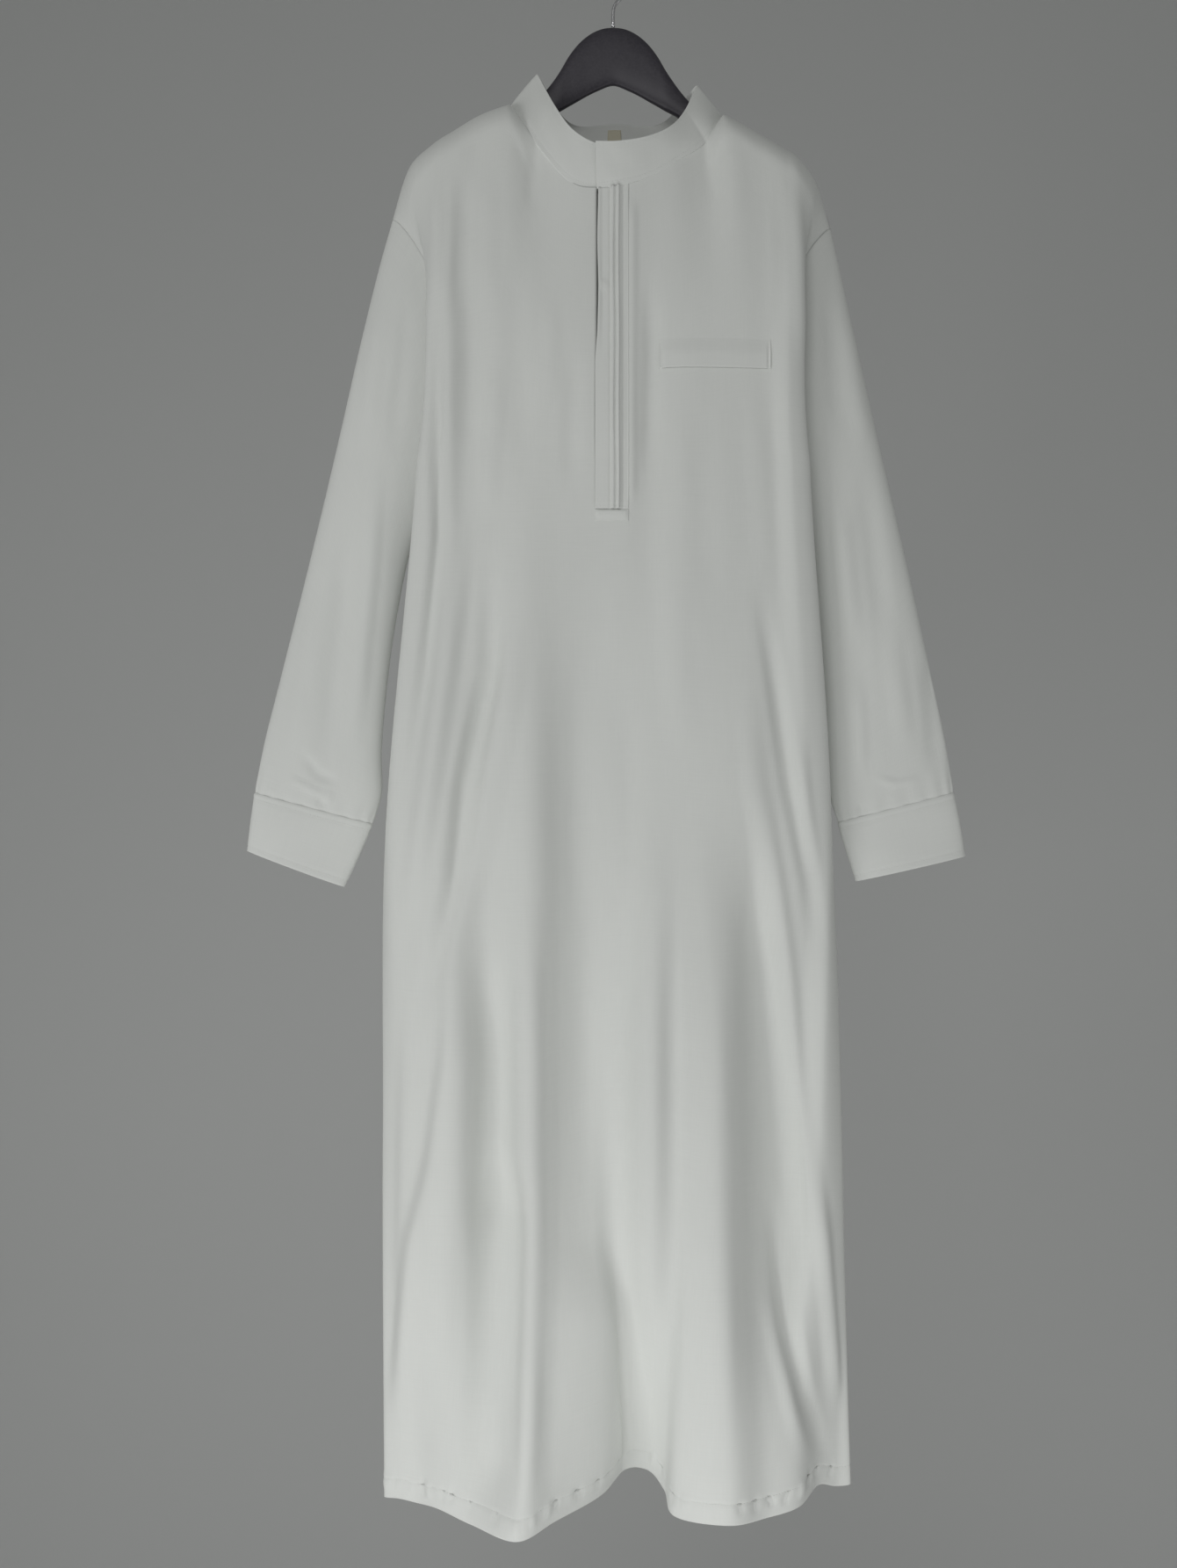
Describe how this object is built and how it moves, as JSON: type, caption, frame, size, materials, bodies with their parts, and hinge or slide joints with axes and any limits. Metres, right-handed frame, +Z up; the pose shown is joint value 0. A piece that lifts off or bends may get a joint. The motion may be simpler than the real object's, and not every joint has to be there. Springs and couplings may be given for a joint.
{
  "type": "thobe robe on hanger",
  "caption": "Ankle-length white thobe with a band collar, half placket with pin tucks, welt chest pocket and buttonless cuffs, hanging on a contoured hanger.",
  "frame": {"origin": "where the underside of the hook's top bears on a rod", "axes": "+X to the right as the robe is seen from the front, which is the wearer's left; the front faces -Y; +Z up"},
  "size_m": [0.7358, 0.1812, 1.5843],
  "materials": {
    "robe_cloth": "matt plain-weave shirting",
    "label_cloth": "bare woven tape",
    "hanger_plastic": "smooth satin",
    "hook_steel": "bright zinc-plated wire"
  },
  "bodies": {
    "root": {"front_panel": "robe_cloth", "back_panel": "robe_cloth", "sleeve_right": "robe_cloth", "sleeve_left": "robe_cloth", "cuff_right": "robe_cloth", "cuff_left": "robe_cloth", "collar_band": "robe_cloth", "placket_band": "robe_cloth", "placket_underlap": "robe_cloth", "chest_pocket_welt": "robe_cloth", "neck_label": "label_cloth", "hanger": "hanger_plastic", "hanger_hook": "hook_steel"}
  },
  "joints": []
}
